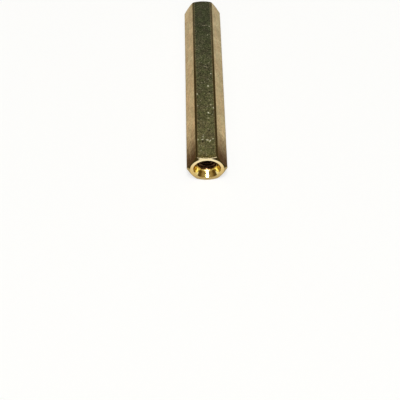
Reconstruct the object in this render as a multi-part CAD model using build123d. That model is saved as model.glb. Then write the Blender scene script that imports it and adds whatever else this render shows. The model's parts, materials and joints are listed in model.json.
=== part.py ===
from build123d import *
import os
from math import radians, tan

# Hex standoff: one solid brass bar, tapped at both ends to take a screw from each side.
# It lies on one of its flats. Z = 0 is that flat, the bar's length runs along Y,
# and the origin is in the middle of the footprint. All sizes are in millimetres and degrees.

# Hexagonal bar
LENGTH = 35.0
ACROSS_FLATS = 5.5
EDGE_RADIUS = 0.3  # the six long edges are rounded by drawing

# Turned ends
FACE_INSET = 0.15  # how far the round end face stops short of the flats
CHAMFER_ANGLE = 30.0  # slope of the chamfer, measured from the end face

# Tapped holes, one in each end
THREAD_DIAMETER = 3.0
THREAD_PITCH = 0.5
HOLE_DEPTH = 11.0  # from the end face to where the full drill diameter stops
DRILL_POINT_ANGLE = 118.0
COUNTERSINK_DIAMETER = 4.3
COUNTERSINK_ANGLE = 60.0

# Worked out from the sizes above
HALF_LENGTH = LENGTH / 2
FACE_RADIUS = ACROSS_FLATS / 2 - FACE_INSET
TAP_DRILL_RADIUS = (THREAD_DIAMETER - THREAD_PITCH) / 2
COUNTERSINK_RADIUS = COUNTERSINK_DIAMETER / 2


def drawn_bar():
    """Hexagonal bar about the Y axis, with a flat at the top and bottom."""
    hexagon = RegularPolygon(ACROSS_FLATS / 2, 6, major_radius=False)
    section = fillet(hexagon.vertices(), EDGE_RADIUS)
    return extrude(Plane.XZ * section, HALF_LENGTH, both=True)


def turned_form():
    """Round form that the lathe leaves at both ends: a flat face, then a cone that opens out
    past the corners of the hexagon. Where it crosses the bar it cuts the scalloped chamfers."""
    reach = ACROSS_FLATS
    chamfer_depth = (reach - FACE_RADIUS) * tan(radians(CHAMFER_ANGLE))
    half_profile = Polyline(
        (0, 0),
        (reach, 0),
        (reach, HALF_LENGTH - chamfer_depth),
        (FACE_RADIUS, HALF_LENGTH),
        (0, HALF_LENGTH),
        close=True,
    )
    half = revolve(make_face(half_profile), Axis.Y)
    return half + mirror(half, Plane.XZ)


def tapped_hole():
    """Blind hole in the end at +Y: countersink, tap drill wall and the cone of the drill's point."""
    countersink_depth = (COUNTERSINK_RADIUS - TAP_DRILL_RADIUS) / tan(radians(COUNTERSINK_ANGLE / 2))
    point_depth = TAP_DRILL_RADIUS / tan(radians(DRILL_POINT_ANGLE / 2))
    profile = Polyline(
        (0, HALF_LENGTH),
        (COUNTERSINK_RADIUS, HALF_LENGTH),
        (TAP_DRILL_RADIUS, HALF_LENGTH - countersink_depth),
        (TAP_DRILL_RADIUS, HALF_LENGTH - HOLE_DEPTH),
        (0, HALF_LENGTH - HOLE_DEPTH - point_depth),
        close=True,
    )
    return revolve(make_face(profile), Axis.Y)


def hex_standoff():
    """The finished bar, lifted so that its lower flat lies at Z = 0."""
    hole = tapped_hole()
    body = drawn_bar() & turned_form()
    body = body - hole - mirror(hole, Plane.XZ)
    return Pos(0, 0, ACROSS_FLATS / 2) * body


os.makedirs("parts", exist_ok=True)
export_step(hex_standoff().solid(), "parts/hex_standoff.step")
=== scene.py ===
import json
import math
import random

import bmesh
import bpy
import numpy as np
from mathutils import Matrix, Vector, noise


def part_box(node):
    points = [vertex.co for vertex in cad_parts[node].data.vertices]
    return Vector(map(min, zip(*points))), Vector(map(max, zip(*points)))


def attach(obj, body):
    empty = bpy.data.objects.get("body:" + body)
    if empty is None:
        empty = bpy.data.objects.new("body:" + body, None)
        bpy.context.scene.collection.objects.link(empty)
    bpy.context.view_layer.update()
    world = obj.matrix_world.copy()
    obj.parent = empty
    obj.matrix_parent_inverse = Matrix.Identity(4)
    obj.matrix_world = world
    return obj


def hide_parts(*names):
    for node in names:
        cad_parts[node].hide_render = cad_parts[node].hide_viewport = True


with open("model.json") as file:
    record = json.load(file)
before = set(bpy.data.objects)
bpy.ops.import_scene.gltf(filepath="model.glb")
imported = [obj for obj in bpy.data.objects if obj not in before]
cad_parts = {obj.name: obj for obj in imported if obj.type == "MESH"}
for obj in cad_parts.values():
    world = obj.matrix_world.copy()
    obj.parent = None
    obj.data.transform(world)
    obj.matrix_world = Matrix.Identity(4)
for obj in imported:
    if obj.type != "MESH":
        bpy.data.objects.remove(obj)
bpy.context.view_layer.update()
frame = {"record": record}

# Hex standoff: a brass bar that lies on one of its flats, with its length along Y and its front end at -Y.
# Sizes are in millimetres until a mesh is made: MM turns them into metres.
MM = 0.001
NODE = "hex_standoff"

# Read from the frame
low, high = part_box(NODE)
HALF_LENGTH = (high.y - low.y) / 2 / MM
HALF_FLATS = (high.z - low.z) / 2 / MM
AXIS_HEIGHT = (high.z + low.z) / 2 / MM
TOP_Z = AXIS_HEIGHT + HALF_FLATS
FRONT_Y = -HALF_LENGTH
thread_mount = next(m for m in frame["record"]["mounts"] if m["name"] == "front_thread")
DRILL_R = thread_mount["dims"]["r_mm"]

# Bar, turned ends and holes, as in the solid; angles in degrees
EDGE_R = 0.3
FACE_R = HALF_FLATS - 0.15
CHAMFER_ANGLE = 30
MOUTH_R = 2.15
SINK_ANGLE = 60
HOLE_DEPTH = 11.0
DRILL_POINT_ANGLE = 118
CHAMFER_SLOPE = math.tan(math.radians(CHAMFER_ANGLE))
SINK_SLOPE = math.tan(math.radians(SINK_ANGLE / 2))
DRILL_TIP = DRILL_R / math.tan(math.radians(DRILL_POINT_ANGLE / 2))

# Softened edges: how far each one reaches from its corner
MOUTH_REACH = 0.08
RIM_REACH = 0.035
SCALLOP_REACH = 0.02

# Thread in both bores
PITCH = 0.5
MAJOR_R = DRILL_R + PITCH / 2
THREAD_END = 9.3
RUN_OUT = 1.0
THREAD_GAP = 0.02  # how much wider the countersink's foot is than the thread, on each side
# Internal 60 degree thread: part of a pitch, and height from the minor to the major diameter
THREAD_PROFILE = [
    (0.02, 0.0), (0.23, 0.0), (0.26, 0.06), (0.41, 0.55), (0.55, 0.97),
    (0.62, 1.0), (0.69, 0.97), (0.84, 0.55), (0.99, 0.06),
]

# How finely the mesh is cut
FLAT_STEPS = 16
CORNER_STEPS = 6
BEND_STEPS = 4
CONE_STEPS = 10
FACE_STEPS = 4
CHAMFER_STEPS = 3
LEAD_STEPS = 6
WALL_STEPS = 5
POINT_STEPS = 6
ROW_STEP = 0.12
LEAD_DEPTH = 1.0  # depth below the end face where the bar's even rows start
WELD = 1e-4
SHARP_ANGLE = 38  # in degrees


def sink_radius(depth):
    """Radius of the countersink's cone at a depth below the end face."""
    return MOUTH_R - depth * SINK_SLOPE


def section_outline():
    """The rounded hexagon, anticlockwise from +X: points and outward normals, as (N, 2) arrays of X, Z."""
    points, normals = [], []
    corner_reach = (HALF_FLATS - EDGE_R) / math.cos(math.radians(30))
    half_flat = (HALF_FLATS - EDGE_R) * math.tan(math.radians(30))
    for side in range(6):
        corner = math.radians(60 * side)
        centre = corner_reach * np.array([math.cos(corner), math.sin(corner)])
        for step in range(CORNER_STEPS):
            turn = corner + math.radians(60 * step / CORNER_STEPS - 30)
            normal = np.array([math.cos(turn), math.sin(turn)])
            points.append(centre + EDGE_R * normal)
            normals.append(normal)
        facing = corner + math.radians(30)
        normal = np.array([math.cos(facing), math.sin(facing)])
        along = np.array([-normal[1], normal[0]])
        for step in range(FLAT_STEPS):
            across = half_flat * (2 * step / FLAT_STEPS - 1)
            points.append(HALF_FLATS * normal + across * along)
            normals.append(normal)
    start = CORNER_STEPS // 2
    return np.roll(np.array(points), -start, axis=0), np.roll(np.array(normals), -start, axis=0)


OUTLINE, OUTLINE_NORMALS = section_outline()
THETA = np.unwrap(np.arctan2(OUTLINE[:, 1], OUTLINE[:, 0]))
OUTLINE_R = np.hypot(OUTLINE[:, 0], OUTLINE[:, 1])


def row(radius, depth):
    """One row round the bar, an array of radii and one of depths below the end face."""
    return np.array(np.broadcast_arrays(radius, depth, THETA)[:2], float)


def bend(before, corner, after, reach):
    """Rows that round a corner of the lengthwise profile with a short parabola."""
    before, corner, after = row(*before), row(*corner), row(*after)
    back = (before - corner) / np.hypot(*(before - corner))
    on = (after - corner) / np.hypot(*(after - corner))
    start, end = corner + reach * back, corner + reach * on
    rows = []
    for t in np.linspace(0, 1, BEND_STEPS + 1):
        rows.append((1 - t) ** 2 * start + 2 * t * (1 - t) * corner + t * t * end)
    return rows


def between(first, last, steps):
    """Rows evenly spaced between two rows, without the two themselves."""
    return [first + (last - first) * t for t in np.linspace(0, 1, steps + 1)[1:-1]]


def end_rows():
    """Depth where the thread starts, and the rows from there over the mouth and the end face, down the
    chamfer, and along the first stretch of the bar."""
    chamfer_depth = (OUTLINE_R - FACE_R) * CHAMFER_SLOPE
    thread_start = (MOUTH_R - MAJOR_R - THREAD_GAP) / SINK_SLOPE
    foot = (sink_radius(thread_start), thread_start)
    mouth_edge = (MOUTH_R, 0.0)
    face_edge = (FACE_R, 0.0)
    bar_edge = (OUTLINE_R, chamfer_depth)
    along_bar = (OUTLINE_R, chamfer_depth + 1)

    mouth = bend(foot, mouth_edge, face_edge, MOUTH_REACH)
    rim = bend(mouth_edge, face_edge, bar_edge, RIM_REACH)
    scallop = bend(face_edge, bar_edge, along_bar, SCALLOP_REACH)
    lead_end = row(OUTLINE_R, LEAD_DEPTH)
    cone = [row(*foot), *between(row(*foot), mouth[0], CONE_STEPS), *mouth]
    face = [*between(mouth[-1], rim[0], FACE_STEPS), *rim]
    chamfer = [*between(rim[-1], scallop[0], CHAMFER_STEPS), *scallop]
    lead = [*between(scallop[-1], lead_end, LEAD_STEPS), lead_end]
    return thread_start, cone + face, chamfer, lead


def thread_grid(side, thread_start):
    """Helical rows of (radius, depth, angle) from the countersink to the run-out. Every row climbs one
    pitch in a turn, so the crests lie along mesh edges; rows past the ends are held there and welded."""
    angles = np.append(THETA, THETA[0] + 2 * math.pi) - THETA[0]
    climb = side * PITCH * angles / (2 * math.pi)
    turns = math.ceil((THREAD_END - thread_start) / PITCH) + 1
    rows = []
    for turn in range(-2, turns + 1):
        for phase, height in THREAD_PROFILE:
            depth = thread_start + (turn + phase) * PITCH + climb
            held = np.clip(depth, thread_start, THREAD_END)
            fade = np.clip((THREAD_END - held) / RUN_OUT, 0, 1)
            cut = DRILL_R + (MAJOR_R - DRILL_R) * height * fade
            rows.append((np.maximum(cut, sink_radius(held)), held, angles + THETA[0]))
    return rows


# Handling marks: shallow dings pressed into the flats and the long edges
DING_COUNT = 46
DING_MARGIN = 0.6
DING_SIZES = (0.12, 0.4)
DING_DEPTHS = (0.006, 0.02)
rng = random.Random(11)
DINGS = []
for _ in range(DING_COUNT):
    DINGS.append((
        rng.uniform(-HALF_LENGTH + DING_MARGIN, HALF_LENGTH - DING_MARGIN),
        rng.uniform(0, 2 * math.pi),
        rng.uniform(*DING_SIZES),
        rng.uniform(*DING_DEPTHS),
    ))

# Slow waviness of the drawn skin, and the finer ripple on it
WAVE_DEPTH = 0.0035
WAVE_ACROSS = 2.0
WAVE_ALONG = 0.35
RIPPLE_DEPTH = 0.0012
RIPPLE_SCALE = 3.1
SKIN_EASE = 0.5  # distance from each end over which waviness and dings grow to their full depth


def skin_depth(y, theta):
    """How far the drawn skin lies below the true flat: its waviness and the dings."""
    place = Vector((math.cos(theta) * WAVE_ACROSS, y * WAVE_ALONG, math.sin(theta) * WAVE_ACROSS))
    depth = WAVE_DEPTH * (1 + noise.noise(place)) + RIPPLE_DEPTH * (1 + noise.noise(place * RIPPLE_SCALE))
    for ding_y, ding_theta, size, ding_depth in DINGS:
        along = y - ding_y
        if abs(along) > 3 * size:
            continue
        turn = (theta - ding_theta + math.pi) % (2 * math.pi) - math.pi
        across = turn * HALF_FLATS
        depth += ding_depth * math.exp(-(along**2 + across**2) / (size * size))
    return depth


class Skin:
    """Collects vertices and quads in millimetres, with a material number for each quad."""

    def __init__(self):
        self.points, self.quads, self.slots = [], [], []

    def add(self, rows, slot, closed=True):
        """Joins neighbouring rows, each a (columns, 3) array of points, with quads."""
        first = len(self.points)
        columns = len(rows[0])
        for points in rows:
            self.points.extend(map(tuple, points))
        for r in range(len(rows) - 1):
            for c in range(columns if closed else columns - 1):
                a = first + r * columns + c
                b = first + r * columns + (c + 1) % columns
                self.quads.append((a, b, b + columns, a + columns))
                self.slots.append(slot)


def turned(side, rows):
    """Points of (radius, depth[, angle]) rows at one end: side is -1 at the front and 1 at the rear."""
    out = []
    for values in rows:
        radius, depth = values[0], values[1]
        angle = values[2] if len(values) > 2 else THETA
        y = side * (HALF_LENGTH - depth)
        out.append(np.stack([radius * np.cos(angle), y, radius * np.sin(angle)], 1))
    return out


def bar_rows(start, end):
    """Evenly spaced rows of points along the bar, from one row to another."""
    steps = int(round(abs(end[0][1] - start[0][1]) / ROW_STEP))
    return [start + (end - start) * t for t in np.linspace(0, 1, steps + 1)]


def worn(rows):
    """The same rows pushed in from the true flats by the skin's depth."""
    out = []
    for points in rows:
        moved = points.copy()
        for c, (x, y, z) in enumerate(points):
            ease = min(1.0, (HALF_LENGTH - abs(y)) / SKIN_EASE)
            depth = ease * skin_depth(y, THETA[c])
            moved[c][0] = x - depth * OUTLINE_NORMALS[c][0]
            moved[c][2] = z - depth * OUTLINE_NORMALS[c][1]
        out.append(moved)
    return out


# Material numbers
DRAWN, TURNED, THREADED = 0, 1, 2


def build_standoff():
    """One closed mesh of the whole standoff: hexagon, ends, countersinks, threads and drill points."""
    skin = Skin()
    middles = []
    for side in (-1, 1):
        thread_start, cone_and_face, chamfer, lead = end_rows()
        skin.add(turned(side, cone_and_face), TURNED)
        skin.add(turned(side, [cone_and_face[-1], *chamfer]), TURNED)
        # The first row of the worn skin stays on the chamfer's edge
        outer = worn(turned(side, [chamfer[-1], *lead]))
        outer[0] = turned(side, [chamfer[-1]])[0]
        skin.add(outer, DRAWN)
        middles.append(turned(side, [lead[-1]])[0])
        skin.add(turned(side, thread_grid(side, thread_start)), THREADED, closed=False)
        wall = [row(DRILL_R, depth) for depth in np.linspace(THREAD_END, HOLE_DEPTH, WALL_STEPS + 1)]
        point = []
        for t in np.linspace(0, 1, POINT_STEPS + 1)[1:]:
            point.append(row(DRILL_R * (1 - t), HOLE_DEPTH + DRILL_TIP * t))
        skin.add(turned(side, wall + point), THREADED)
    skin.add(worn(bar_rows(*middles)), DRAWN)

    mesh = bpy.data.meshes.new("standoff_brass")
    mesh.from_pydata(skin.points, [], skin.quads)
    mesh.polygons.foreach_set("material_index", skin.slots)
    shape = bmesh.new()
    shape.from_mesh(mesh)
    bmesh.ops.remove_doubles(shape, verts=shape.verts, dist=WELD)
    bmesh.ops.recalc_face_normals(shape, faces=shape.faces)
    shape.to_mesh(mesh)
    shape.free()
    mesh.transform(Matrix.Translation((0, 0, AXIS_HEIGHT * MM)) @ Matrix.Scale(MM, 4))
    mesh.polygons.foreach_set("use_smooth", [True] * len(mesh.polygons))
    mesh.set_sharp_from_angle(angle=math.radians(SHARP_ANGLE))
    mesh.update()
    standoff = bpy.data.objects.new("standoff_brass", mesh)
    bpy.context.scene.collection.objects.link(standoff)
    return standoff


# Part of a mark's or speck's radius that has its full strength
SOLID_SHARE = 0.4


class Graph:
    """Short way to write a material's or the world's nodes."""

    def __init__(self, owner):
        owner.use_nodes = True
        self.tree = owner.node_tree
        self.tree.nodes.clear()

    def add(self, kind, inputs=None, **settings):
        node = self.tree.nodes.new(kind)
        for name, value in settings.items():
            setattr(node, name, value)
        for name, value in (inputs or {}).items():
            socket = node.inputs[name]
            if isinstance(value, bpy.types.NodeSocket):
                self.tree.links.new(value, socket)
            else:
                socket.default_value = value
        return node

    def math(self, operation, *values):
        return self.add("ShaderNodeMath", dict(enumerate(values)), operation=operation).outputs[0]

    def product(self, first, *others):
        for other in others:
            first = self.math("MULTIPLY", first, other)
        return first

    def absolute(self, value):
        return self.math("ABSOLUTE", value)

    def vector(self, x, y, z):
        return self.add("ShaderNodeCombineXYZ", {0: x, 1: y, 2: z}).outputs[0]

    def split(self, vector):
        return self.add("ShaderNodeSeparateXYZ", {0: vector}).outputs

    def length(self, vector):
        return self.add("ShaderNodeVectorMath", {0: vector}, operation="LENGTH").outputs["Value"]

    def scaled(self, vector, factor):
        """Colour or place with one factor on all three parts."""
        inputs = {0: vector, "Scale": factor}
        return self.add("ShaderNodeVectorMath", inputs, operation="SCALE").outputs[0]

    def tinted(self, vector, factors):
        """Colour or place with a factor of its own on each part."""
        inputs = {0: vector, 1: factors}
        return self.add("ShaderNodeVectorMath", inputs, operation="MULTIPLY").outputs[0]

    def mix(self, factor, first, second):
        """Colour between two colours."""
        ends = [(*c, 1) if isinstance(c, tuple) else c for c in (first, second)]
        inputs = {0: factor, 6: ends[0], 7: ends[1]}
        return self.add("ShaderNodeMix", inputs, data_type="RGBA").outputs[2]

    def ramp(self, value, *stops):
        """Colour ramp of (place, colour) stops."""
        node = self.add("ShaderNodeValToRGB", {"Fac": value})
        elements = node.color_ramp.elements
        while len(elements) < len(stops):
            elements.new(0.5)
        for element, (place, colour) in zip(elements, stops):
            element.position = place
            element.color = (*colour, 1)
        return node.outputs["Color"]

    def range(self, value, low_in, high_in, low_out, high_out):
        inputs = {0: value, 1: low_in, 2: high_in, 3: low_out, 4: high_out}
        return self.add("ShaderNodeMapRange", inputs).outputs[0]

    def rise(self, value, start, full):
        """0 up to the start and 1 from full on."""
        return self.range(value, start, full, 0.0, 1.0)

    def spread(self, value, low_out, high_out, reach=0.2):
        """The middle of a noise, within a reach of 0.5, spread from one value to another."""
        return self.range(value, 0.5 - reach, 0.5 + reach, low_out, high_out)

    def noise(self, where, scale, detail, roughness):
        inputs = {"Vector": where, "Scale": scale, "Detail": detail, "Roughness": roughness}
        return self.add("ShaderNodeTexNoise", inputs).outputs["Fac"]

    def specks(self, where, scale, size, share):
        """Scattered round specks in a share of the cells, from 0 outside to 1 inside."""
        cells = self.add("ShaderNodeTexVoronoi", {"Vector": where, "Scale": scale})
        chosen = self.rise(self.split(cells.outputs["Color"])[0], 1 - share, 1 - share + 0.01)
        inside = self.rise(cells.outputs["Distance"], size, size * SOLID_SHARE)
        return self.product(chosen, inside)

    def millimetres(self):
        coordinates = self.add("ShaderNodeTexCoord").outputs["Object"]
        return self.scaled(coordinates, 1 / MM)


# Brass keeps its own colour at a grazing view instead of turning white
GRAZING_TINT = (0.72, 0.63, 0.52, 1)


def brass_material(name, finish):
    """Metal whose finish(graph, place in millimetres) gives its colour, metallic, roughness and height."""
    material = bpy.data.materials.new(name)
    graph = Graph(material)
    colour, metallic, rough, height = finish(graph, graph.millimetres())
    bump = graph.add("ShaderNodeBump", {"Height": height, "Strength": 1.0, "Distance": MM})
    inputs = {
        "Base Color": colour,
        "Metallic": metallic,
        "Roughness": rough,
        "Normal": bump.outputs["Normal"],
        "Specular Tint": GRAZING_TINT,
    }
    shader = graph.add("ShaderNodeBsdfPrincipled", inputs)
    graph.add("ShaderNodeOutputMaterial", {"Surface": shader.outputs["BSDF"]})
    return material


# Marks on the upper flat: middle x and y, half length, half width, angle and strength
NICKS = [
    (0.30, 11.3, 0.45, 0.10, 0, 0.25),
    (1.10, 11.1, 0.14, 0.18, 0, 0.35),
    (0.75, 9.0, 0.12, 0.14, 0, 0.35),
    (0.85, 2.5, 0.14, 0.16, 0, 0.25),
    (0.25, 1.6, 0.60, 0.10, -28, 0.25),
    (1.05, 0.0, 0.12, 0.14, 0, 0.65),
    (0.55, -1.2, 0.25, 0.12, -10, 0.25),
    (0.55, -2.7, 0.16, 0.16, 20, 0.75),
    (-1.25, -4.4, 0.12, 0.18, 0, 0.6),
    (-1.20, -6.9, 0.12, 0.14, 0, 0.4),
    (0.90, -6.7, 0.12, 0.14, 0, 0.5),
    (1.30, -7.4, 0.12, 0.20, 0, 0.75),
    (0.45, -8.4, 0.14, 0.20, 30, 0.75),
    (1.35, -8.3, 0.10, 0.18, 0, 0.4),
    (0.40, -9.5, 0.15, 0.15, 0, 0.35),
    (-0.50, -13.2, 0.14, 0.16, 0, 0.45),
    (-1.30, -13.8, 0.12, 0.18, 0, 0.5),
    (-0.60, -13.8, 0.20, 0.12, 0, 0.6),
    (0.15, -13.9, 0.25, 0.14, -10, 0.6),
    (0.57, -14.1, 0.28, 0.08, 50, 1.0),
    (1.00, -13.7, 0.14, 0.14, 0, 0.5),
    (-1.40, -15.5, 0.10, 0.16, 0, 0.4),
    (-0.85, -16.0, 0.12, 0.12, 0, 0.3),
]
PITS = [(-0.55, -14.2, 0.16, 0.14, 0, 0.7), (0.55, -12.0, 0.12, 0.18, 0, 0.6)]
MARK_WIDENING = 1.2
MARK_GAIN = 1.25
MARK_HALF_HEIGHT = 0.5  # keeps the marks to the upper flat


def marks(graph, where, strokes):
    """Strokes drawn on the upper flat, from 0 outside to their strength inside."""
    total = 0.0
    for x, y, half_length, half_width, angle, strength in strokes:
        inputs = {
            "Vector": where,
            "Location": (x, y, TOP_Z),
            "Rotation": (0, 0, math.radians(angle)),
            "Scale": (MARK_WIDENING * half_length, MARK_WIDENING * half_width, MARK_HALF_HEIGHT),
        }
        local = graph.add("ShaderNodeMapping", inputs, vector_type="TEXTURE").outputs["Vector"]
        inside = graph.range(graph.length(local), 1.0, SOLID_SHARE, 0.0, min(MARK_GAIN * strength, 1.0))
        total = graph.math("MAXIMUM", total, inside)
    return total


# Colours of the drawn skin
TARNISH_LIGHT = (0.56, 0.435, 0.245)
TARNISH_DARK = (0.445, 0.343, 0.190)
# Dark brown of the pits, also used as a painted dark reflection on the side flats towards the front end
PIT_AND_REFLECTED_BROWN = (0.050, 0.022, 0.012)
# Painted shade along the long edges
EDGE_PAINTED_SHADE = (0.060, 0.040, 0.012)
SCUFF = (0.80, 0.76, 0.58)

# Tints that multiply the tarnish
GREENED = (0.95, 1.03, 0.88)
BROWNED = (1.03, 0.98, 1.00)
FRONT_TOP = (1.00, 1.00, 0.89)
REAR_TOP = (0.90, 1.02, 1.11)
FRONT_SIDE = (1.02, 1.01, 0.99)
REAR_SIDE = (0.96, 1.01, 1.09)
LEFT_SIDE = (1.00, 1.00, 1.00)
RIGHT_SIDE = (0.95, 1.01, 1.05)
YELLOWED = (1.12, 0.98, 0.62)
PALER = (0.98, 1.01, 1.00)
REDDER = (1.06, 0.96, 0.94)

# Places on the drawn skin, each where something starts and where it is full
UPPER_FLAT_Z = (TOP_Z - 0.12, TOP_Z - 0.05)
SIDE_FLAT_X = (1.45, 1.75)
LONG_EDGE_R = (3.02, 3.07)
HIGH_EDGE_Z = (AXIS_HEIGHT + 1.0, AXIS_HEIGHT + 1.6)
EDGE_FADE_Y = (0.0, 12.0)
INNER_EDGE_X = (1.48, 1.62)
GRAIN_FADE_Y = (2.0, 13.0)
REARWARD_Y = (-15.0, 12.0)
RIGHT_X = (-0.5, 0.5)
YELLOW_Y = (FRONT_Y + 0.9, FRONT_Y + 0.2)
# Where the painted dark reflection on the side flats starts and where it is full
REFLECTED_BROWN_Y = (FRONT_Y + 7.0, FRONT_Y + 1.2)

# Noises of the drawn skin: scale, detail and roughness
BLOTCHES = (0.5, 4.0, 0.6)
CLOUDS = (1.7, 3.0, 0.6)
GRAIN = (5.0, 2.0, 0.6)
RUB_MARKS = (1.0, 2.0, 0.5)
HUE_PATCHES = (0.9, 3.0, 0.7)
REDDENING = (1.3, 3.0, 0.6)
LINES = (1.0, 3.0, 0.5)
LINE_STRETCH = (6.0, 0.2, 6.0)
REDDENING_STRETCH = (1.5, 0.25, 1.5)
REDDENING_SPAN = (0.4, 0.62)
RUB_SLANT = (4.0, 5.0)  # along the bar and upwards
# Scattered specks: scale, size and share of the cells
PALE_SPECKS = (2.8, 0.34, 0.20)
DARK_SPECKS = (2.1, 0.30, 0.10)

# How strong each of them is
CLOUD_TONES = (0.80, 1.20)
RUB_TONES = (0.92, 1.08)
GRAIN_ON_TOP = 0.66
GRAIN_EVERYWHERE = 0.14
REAR_GRAIN = 0.35
SPECKS_BELOW, SPECKS_ON_TOP = 0.08, 0.45
DARK_SPECK_STRENGTH = 0.6
REFLECTED_BROWN_RAGGED = 0.7
REFLECTED_BROWN_CURVE = 1.15
# Strength of the painted edge shade on the lower edges and towards the rear
LOW_EDGE_SHADE = 0.3
REAR_EDGE_SHADE = 0.8
NICK_DULLNESS = 0.75
EDGE_SHADE_DULLNESS = 0.85
LEAST_METALLIC = 0.1
DRAWN_ROUGH = (0.23, 0.32)

# Height of the drawing lines, the grain and the pits
LINE_HEIGHT = 0.003
GRAIN_HEIGHT = 0.008
PIT_HEIGHT = -0.01


def drawn_tone(graph, where, top, front):
    """Tarnish with blotches, a grain that is strong on the front of the upper flat, and faint rub marks."""
    y, z = graph.split(where)[1:]
    slant = graph.math("ADD", graph.product(y, RUB_SLANT[0]), graph.product(z, RUB_SLANT[1]))
    rubbed = graph.noise(graph.vector(slant, graph.math("SUBTRACT", y, z), 0.0), *RUB_MARKS)
    blotch = graph.noise(where, *BLOTCHES)
    cloud = graph.noise(where, *CLOUDS)
    grain = graph.noise(where, *GRAIN)
    colour = graph.mix(graph.spread(blotch, 0.0, 1.0, 0.15), TARNISH_DARK, TARNISH_LIGHT)
    coarse = graph.spread(cloud, *CLOUD_TONES)
    swing = graph.math("ADD", graph.product(top, front, GRAIN_ON_TOP), GRAIN_EVERYWHERE)
    fine = graph.math("MULTIPLY_ADD", graph.spread(grain, -1.0, 1.0, 0.25), swing, 1.0)
    streak = graph.spread(rubbed, *RUB_TONES)
    return graph.scaled(colour, graph.product(coarse, fine, streak)), cloud, grain


def drawn_hue(graph, where, top):
    """Tint of the tarnish: greener patches on the upper flat and yellow at its front end, redder ones
    along the sides, and cooler to the rear."""
    x, y = graph.split(where)[:2]
    rearward = graph.rise(y, *REARWARD_Y)
    patch = graph.spread(graph.noise(where, *HUE_PATCHES), 0.0, 1.0, 0.08)
    upper = graph.mix(patch, GREENED, BROWNED)
    upper = graph.mix(graph.rise(y, *YELLOW_Y), upper, YELLOWED)
    upper = graph.tinted(upper, graph.mix(rearward, FRONT_TOP, REAR_TOP))
    reddish = graph.noise(graph.tinted(where, REDDENING_STRETCH), *REDDENING)
    reddish = graph.rise(reddish, *REDDENING_SPAN)
    flank = graph.tinted(graph.mix(reddish, PALER, REDDER), graph.mix(rearward, FRONT_SIDE, REAR_SIDE))
    flank = graph.tinted(flank, graph.mix(graph.rise(x, *RIGHT_X), LEFT_SIDE, RIGHT_SIDE))
    return graph.mix(top, flank, upper)


def drawn_finish(graph, where):
    """Drawn skin: brown tarnish with its tints, painted dark reflection and shade, lengthwise lines, pits
    and pale nicks.
    """
    x, y, z = graph.split(where)
    from_axis = graph.length(graph.vector(x, 0.0, graph.math("SUBTRACT", z, AXIS_HEIGHT)))
    top = graph.rise(z, *UPPER_FLAT_Z)
    side = graph.rise(graph.absolute(x), *SIDE_FLAT_X)
    edge = graph.rise(from_axis, *LONG_EDGE_R)
    front = graph.range(y, *GRAIN_FADE_Y, 1.0, REAR_GRAIN)
    colour, cloud, grain = drawn_tone(graph, where, top, front)
    colour = graph.tinted(colour, drawn_hue(graph, where, top))

    # Painted dark reflection on the side flats towards the front end, and painted shade along the long
    # edges
    ragged = graph.math("ADD", y, graph.spread(cloud, -REFLECTED_BROWN_RAGGED, REFLECTED_BROWN_RAGGED))
    reflected_brown = graph.math("POWER", graph.rise(ragged, *REFLECTED_BROWN_Y), REFLECTED_BROWN_CURVE)
    colour = graph.mix(graph.product(reflected_brown, side), colour, PIT_AND_REFLECTED_BROWN)
    # Painted shade on the long edges, full on the upper ones and fading towards the rear
    high_edge = graph.range(z, *HIGH_EDGE_Z, LOW_EDGE_SHADE, 1.0)
    high_edge = graph.product(high_edge, graph.range(y, *EDGE_FADE_Y, 1.0, REAR_EDGE_SHADE))
    edge_shade = graph.product(edge, high_edge)
    colour = graph.mix(edge_shade, colour, EDGE_PAINTED_SHADE)

    # Pale nicks and specks, and dark pits
    speckled = graph.range(top, 0.0, 1.0, SPECKS_BELOW, SPECKS_ON_TOP)
    specks = graph.product(graph.specks(where, *PALE_SPECKS), speckled, front)
    pale = graph.math("MAXIMUM", marks(graph, where, NICKS), specks)
    pale = graph.product(pale, graph.math("SUBTRACT", 1.0, edge))
    pits = graph.product(graph.specks(where, *DARK_SPECKS), DARK_SPECK_STRENGTH)
    pits = graph.math("MAXIMUM", marks(graph, where, PITS), pits)
    colour = graph.mix(pale, colour, SCUFF)
    colour = graph.mix(pits, colour, PIT_AND_REFLECTED_BROWN)

    # The nicks and the painted edge shade beside the upper flat are dull
    shaded_inner_edge = graph.product(edge_shade, graph.range(graph.absolute(x), *INNER_EDGE_X, EDGE_SHADE_DULLNESS, 0.0))
    dull = graph.math("MAXIMUM", graph.product(pale, NICK_DULLNESS), shaded_inner_edge)
    metallic = graph.range(dull, 0.0, 1.0, 1.0, LEAST_METALLIC)
    rough = graph.spread(grain, *DRAWN_ROUGH)

    lines = graph.noise(graph.tinted(where, LINE_STRETCH), *LINES)
    height = graph.product(lines, LINE_HEIGHT)
    height = graph.math("MULTIPLY_ADD", grain, GRAIN_HEIGHT, height)
    height = graph.math("MULTIPLY_ADD", pits, PIT_HEIGHT, height)
    return colour, metallic, rough, height


# End face from its lowest point to its highest, with painted shade at the foot and a painted highlight at
# the top
FACE_SHADED_TONES = [
    (0.04, (0.46, 0.34, 0.15)),
    (0.20, (0.58, 0.42, 0.17)),
    (0.40, (0.70, 0.50, 0.19)),
    (0.58, (0.76, 0.56, 0.24)),
    (0.70, (0.88, 0.68, 0.33)),
    (0.90, (0.95, 0.80, 0.47)),
    (0.98, (0.96, 0.84, 0.55)),
]
FACE_HEIGHTS = (-2.5, 2.5)
# Colour of the painted highlights on the upper chamfer
PAINTED_HIGHLIGHT_TONE = (0.95, 0.80, 0.47)
# Painted shade on the chamfer: lighter low down, darker high up and on the brink
CHAMFER_LOW_SHADE = (0.42, 0.32, 0.15)
CHAMFER_SHADE = (0.045, 0.030, 0.008)
CONE_GOLD = (0.96, 0.80, 0.33)
# Painted dark reflection just inside the countersink's mouth
CONE_REFLECTED_DARK = (0.46, 0.33, 0.09)

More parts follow.
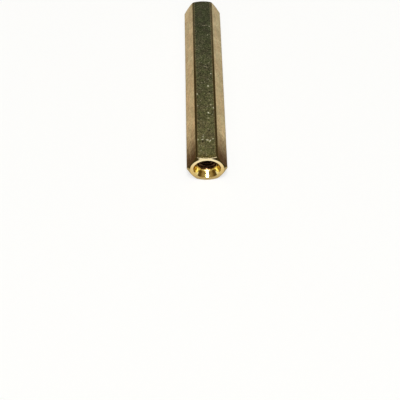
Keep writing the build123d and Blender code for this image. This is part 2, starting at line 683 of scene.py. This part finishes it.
# Places on the turned ends, each where something starts and where it is full: radius from the axis,
# height above it, distance to its side, or depth below the end face
CHAMFER_RADII = (FACE_R - 0.03, FACE_R + 0.04)
SHADE_HEIGHTS = (0.08, 0.4)
CREST_HEIGHTS = (2.2, 2.35)
CREST_MIDDLE = -0.2
CREST_SIDES = (1.15, 0.8)
LIP_HEIGHTS = (HALF_FLATS - 0.17, HALF_FLATS - 0.12)
LIP_SIDES = (1.54, 1.42)
LIP_BRIGHTENING = (-1.2, 0.8)
BRINK_HEIGHTS = (HALF_FLATS - 0.07, HALF_FLATS - 0.03)
MOUTH_RADII = (MOUTH_R + 0.01, MOUTH_R - 0.05)
REFLECTED_DARK_DEPTHS = (0.34, 0.04)
FOOT_DEPTHS = (0.85, 1.0)
WAIST_DEPTH = 0.68
WAIST_REACH = (0.05, 0.30)
WAIST_DEPTHS = (0.05, 0.25)

# Noises of the turned ends: scale, detail and roughness
RINGS = (5.0, 2.0, 0.5)
SMUDGES = (1.6, 3.0, 0.6)
CUT_GRAIN = (6.0, 2.0, 0.6)

# How strong each mark on the turned ends is
SMUDGE_TONES = (1.05, 0.92)
CUT_GRAIN_TONES = (0.94, 1.05)
LIP_STRENGTHS = (0.55, 0.95)
BRINK_STRENGTH = 0.9
REFLECTED_DARK_STRENGTH = 0.6
CUT_ROUGH = (0.11, 0.2)
CONE_ROUGH = (0.08, 0.3)
WAIST_ROUGH = 0.07
RING_HEIGHT = 0.003
CONE_RING_HEIGHT = 0.0012


def turned_finish(graph, where):
    """Fresh cut brass: rings left by the lathe, bright on the end face, with painted shade and highlights
    on its ends.
    """
    x, y, z = graph.split(where)
    height = graph.math("SUBTRACT", z, AXIS_HEIGHT)
    from_axis = graph.length(graph.vector(x, 0.0, height))
    depth = graph.math("SUBTRACT", HALF_LENGTH, graph.absolute(y))
    rings = graph.noise(graph.vector(from_axis, y, 0.0), *RINGS)
    smudge = graph.noise(where, *SMUDGES)
    grain = graph.noise(where, *CUT_GRAIN)
    # Painted shade low on the end face and a painted highlight high on it
    colour = graph.ramp(graph.rise(height, *FACE_HEIGHTS), *FACE_SHADED_TONES)
    colour = graph.scaled(colour, graph.spread(smudge, *SMUDGE_TONES))

    # The chamfer has painted shade, darkest beside the two upper corners, and painted highlights above the
    # mouth
    chamfer = graph.rise(from_axis, *CHAMFER_RADII)
    shade = graph.mix(graph.rise(height, *SHADE_HEIGHTS), CHAMFER_LOW_SHADE, CHAMFER_SHADE)
    colour = graph.mix(chamfer, colour, shade)
    # Painted highlights on the middle of the upper chamfer and along the lip below the upper flat
    to_side = graph.absolute(graph.math("SUBTRACT", x, CREST_MIDDLE))
    crest_highlight = graph.product(graph.rise(height, *CREST_HEIGHTS), graph.rise(to_side, *CREST_SIDES))
    lip_highlight = graph.product(graph.rise(height, *LIP_HEIGHTS), graph.rise(graph.absolute(x), *LIP_SIDES))
    lip_highlight = graph.product(lip_highlight, graph.range(x, *LIP_BRIGHTENING, *LIP_STRENGTHS))
    colour = graph.mix(graph.math("MAXIMUM", crest_highlight, lip_highlight), colour, PAINTED_HIGHLIGHT_TONE)
    # Painted shade on the brink next to the upper flat, which dims the lamp's glint there
    colour = graph.mix(graph.range(height, *BRINK_HEIGHTS, 0.0, BRINK_STRENGTH), colour, CHAMFER_SHADE)
    colour = graph.scaled(colour, graph.spread(grain, *CUT_GRAIN_TONES))

    # The countersink is a deeper gold with a painted dark reflection just inside its mouth, finest halfway
    # and coarse at its foot
    inside = graph.rise(from_axis, *MOUTH_RADII)
    cone = graph.mix(graph.range(depth, *REFLECTED_DARK_DEPTHS, 0.0, REFLECTED_DARK_STRENGTH), CONE_GOLD, CONE_REFLECTED_DARK)
    colour = graph.mix(inside, colour, cone)
    to_waist = graph.absolute(graph.math("SUBTRACT", depth, WAIST_DEPTH))
    coarser = graph.range(to_waist, *WAIST_REACH, 0.0, WAIST_ROUGH)
    coarser = graph.product(coarser, graph.rise(depth, *WAIST_DEPTHS))
    fine = graph.math("ADD", graph.range(depth, *FOOT_DEPTHS, *CONE_ROUGH), coarser)
    rough = graph.spread(smudge, *CUT_ROUGH)
    rough = graph.math("MULTIPLY_ADD", inside, graph.math("SUBTRACT", fine, rough), rough)
    relief = graph.range(inside, 0.0, 1.0, RING_HEIGHT, CONE_RING_HEIGHT)
    return colour, 1.0, rough, graph.product(rings, relief)


BORE_BRIGHT = (0.62, 0.40, 0.17)
# Colour deeper in the bore: browning by cutting oil together with painted shade
BORE_OIL_AND_SHADE = (0.055, 0.026, 0.014)
BORE_DULL_DEPTHS = (1.0, 1.25)
BORE_DULLNESS = (0.3, 0.95)
BORE_UNEVEN = (-0.1, 0.15)
BORE_ROUGH = (0.22, 0.38)
BORE_SMUDGES = (2.2, 3.0, 0.6)
BORE_HEIGHT = 0.004


def threaded_finish(graph, where):
    """Tapped bore: bright at its mouth and darker further in, browned by cutting oil and with painted
    shade.
    """
    depth = graph.math("SUBTRACT", HALF_LENGTH, graph.absolute(graph.split(where)[1]))
    smudge = graph.noise(where, *BORE_SMUDGES)
    darkened = graph.range(depth, *BORE_DULL_DEPTHS, *BORE_DULLNESS)
    darkened = graph.math("ADD", darkened, graph.spread(smudge, *BORE_UNEVEN))
    colour = graph.mix(darkened, BORE_BRIGHT, BORE_OIL_AND_SHADE)
    return colour, 1.0, graph.spread(smudge, *BORE_ROUGH), graph.product(smudge, BORE_HEIGHT)


standoff = build_standoff()
for name, finish in (
    ("drawn_brass", drawn_finish),
    ("turned_brass", turned_finish),
    ("threaded_brass", threaded_finish),
):
    standoff.data.materials.append(brass_material(name, finish))
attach(standoff, "root")
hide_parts(NODE)


# Floor: a sheet of white paper, its side in metres
FLOOR_SIDE = 4.0
PAPER = (0.955, 0.955, 0.945)
BACKLIT = 0.72  # share of the paper that shows plain white, so that the shadow stays faint
FIBRES = (0.8, 3.0, 0.5)
FIBRE_TONES = (0.99, 1.0)


def make_floor():
    mesh = bpy.data.meshes.new("floor")
    reach = FLOOR_SIDE / 2
    corners = [(-reach, -reach, 0), (reach, -reach, 0), (reach, reach, 0), (-reach, reach, 0)]
    mesh.from_pydata(corners, [], [(0, 1, 2, 3)])
    floor = bpy.data.objects.new("floor", mesh)
    bpy.context.scene.collection.objects.link(floor)
    material = bpy.data.materials.new("white_paper")
    graph = Graph(material)
    fibres = graph.noise(graph.millimetres(), *FIBRES)
    colour = graph.scaled(graph.vector(*PAPER), graph.spread(fibres, *FIBRE_TONES))
    sheet = {"Base Color": colour, "Roughness": 0.9, "Specular IOR Level": 0.1}
    paper = graph.add("ShaderNodeBsdfPrincipled", sheet)
    glow = graph.add("ShaderNodeEmission", {"Color": (*PAPER, 1), "Strength": 1.0})
    rays = graph.add("ShaderNodeLightPath").outputs
    seen = graph.math("MAXIMUM", rays["Is Camera Ray"], rays["Is Glossy Ray"])
    seen = graph.math("MAXIMUM", seen, rays["Is Transmission Ray"])
    inputs = {0: graph.product(seen, BACKLIT), 1: paper.outputs["BSDF"], 2: glow.outputs[0]}
    shader = graph.add("ShaderNodeMixShader", inputs)
    graph.add("ShaderNodeOutputMaterial", {"Surface": shader.outputs[0]})
    mesh.materials.append(material)
    return floor


make_floor()


# Studio: a pale band at the horizon, a dim room above it, brighter overhead. In front the room is brown
# and has a glow and a small pale card on each side; behind it is darker and greenish.
# Each stop is the height of a direction, from 0 at the horizon to 1 overhead, and a colour.
FRONT_ROOM = [
    (0.00, (0.95, 0.95, 0.95)),
    (0.13, (0.93, 0.93, 0.93)),
    (0.18, (0.09, 0.055, 0.02)),
    (0.70, (0.10, 0.060, 0.02)),
    (0.78, (0.13, 0.085, 0.04)),
    (0.89, (0.28, 0.23, 0.18)),
]
REAR_ROOM = [
    (0.00, (0.95, 0.95, 0.95)),
    (0.13, (0.93, 0.93, 0.93)),
    (0.18, (0.03, 0.03, 0.03)),
    (0.60, (0.018, 0.024, 0.022)),
    (0.68, (0.036, 0.046, 0.044)),
    (0.73, (0.110, 0.135, 0.122)),
    (0.79, (0.270, 0.320, 0.270)),
    (0.88, (0.300, 0.350, 0.300)),
]
ROOMS_MEET_Y = (-0.15, 0.05)
GLOW = (0.50, 0.38, 0.22)
CARD = (1.6, 1.6, 1.7)
# Direction, cosines where the patch starts and is full, and colour
PATCHES = [
    ((-0.51, -0.61, 0.60), 0.92, 0.985, GLOW),
    ((0.51, -0.61, 0.60), 0.92, 0.985, GLOW),
    ((-0.26, -0.71, 0.66), 0.972, 0.986, CARD),
    ((0.26, -0.71, 0.66), 0.972, 0.986, CARD),
]


def make_world():
    world = bpy.data.worlds.new("studio")
    bpy.context.scene.world = world
    graph = Graph(world)
    direction = graph.add("ShaderNodeTexCoord").outputs["Generated"]
    y, z = graph.split(direction)[1:]
    behind = graph.rise(y, *ROOMS_MEET_Y)
    colour = graph.mix(behind, graph.ramp(z, *FRONT_ROOM), graph.ramp(z, *REAR_ROOM))
    for patch, start, full, tone in PATCHES:
        inputs = {0: direction, 1: Vector(patch).normalized()}
        towards = graph.add("ShaderNodeVectorMath", inputs, operation="DOT_PRODUCT").outputs["Value"]
        colour = graph.mix(graph.rise(towards, start, full), colour, tone)
    colour = graph.mix(graph.add("ShaderNodeLightPath").outputs["Is Camera Ray"], colour, PAPER)
    background = graph.add("ShaderNodeBackground", {"Color": colour, "Strength": 1.0})
    graph.add("ShaderNodeOutputWorld", {"Surface": background.outputs[0]})


def soft_box(name, direction, distance, width, depth, level):
    """Area lamp facing the part, in metres; level 1 alone makes a facing white card render white."""
    lamp = bpy.data.lights.new(name, "AREA")
    lamp.shape = "RECTANGLE"
    lamp.size = width
    lamp.size_y = depth
    lamp.energy = level * (math.pi * distance) ** 2
    box = bpy.data.objects.new(name, lamp)
    towards = Vector(direction).normalized()
    box.location = towards * distance
    box.rotation_mode = "QUATERNION"
    box.rotation_quaternion = towards.to_track_quat("Z", "Y")
    bpy.context.scene.collection.objects.link(box)


make_world()
soft_box("overhead", direction=(0.0, -0.38, 0.92), distance=1.2, width=0.26, depth=0.6, level=0.95)


# Camera, at the photograph's viewing angle and framing; its clipping distances are in metres
CAMERA_PLACE = (-1.002, -95.724, 104.555)
CAMERA_TILT = 35.466
CAMERA_YAW = 0.161
CAMERA_ROLL = -1.614
LENS = 75.42
SENSOR = 36
CLIP_START = 0.005
CLIP_END = 20


def make_camera():
    data = bpy.data.cameras.new("camera")
    data.lens = LENS
    data.sensor_width = SENSOR
    data.clip_start = CLIP_START
    data.clip_end = CLIP_END
    camera = bpy.data.objects.new("camera", data)
    bpy.context.scene.collection.objects.link(camera)
    turn = Matrix.Rotation(math.radians(CAMERA_YAW), 4, "Z")
    turn = turn @ Matrix.Rotation(math.radians(CAMERA_TILT), 4, "X")
    turn = turn @ Matrix.Rotation(math.radians(CAMERA_ROLL), 4, "Z")
    camera.matrix_world = Matrix.Translation(Vector(CAMERA_PLACE) * MM) @ turn
    return camera


bpy.context.scene.camera = make_camera()
bpy.context.scene.view_settings.view_transform = "Standard"
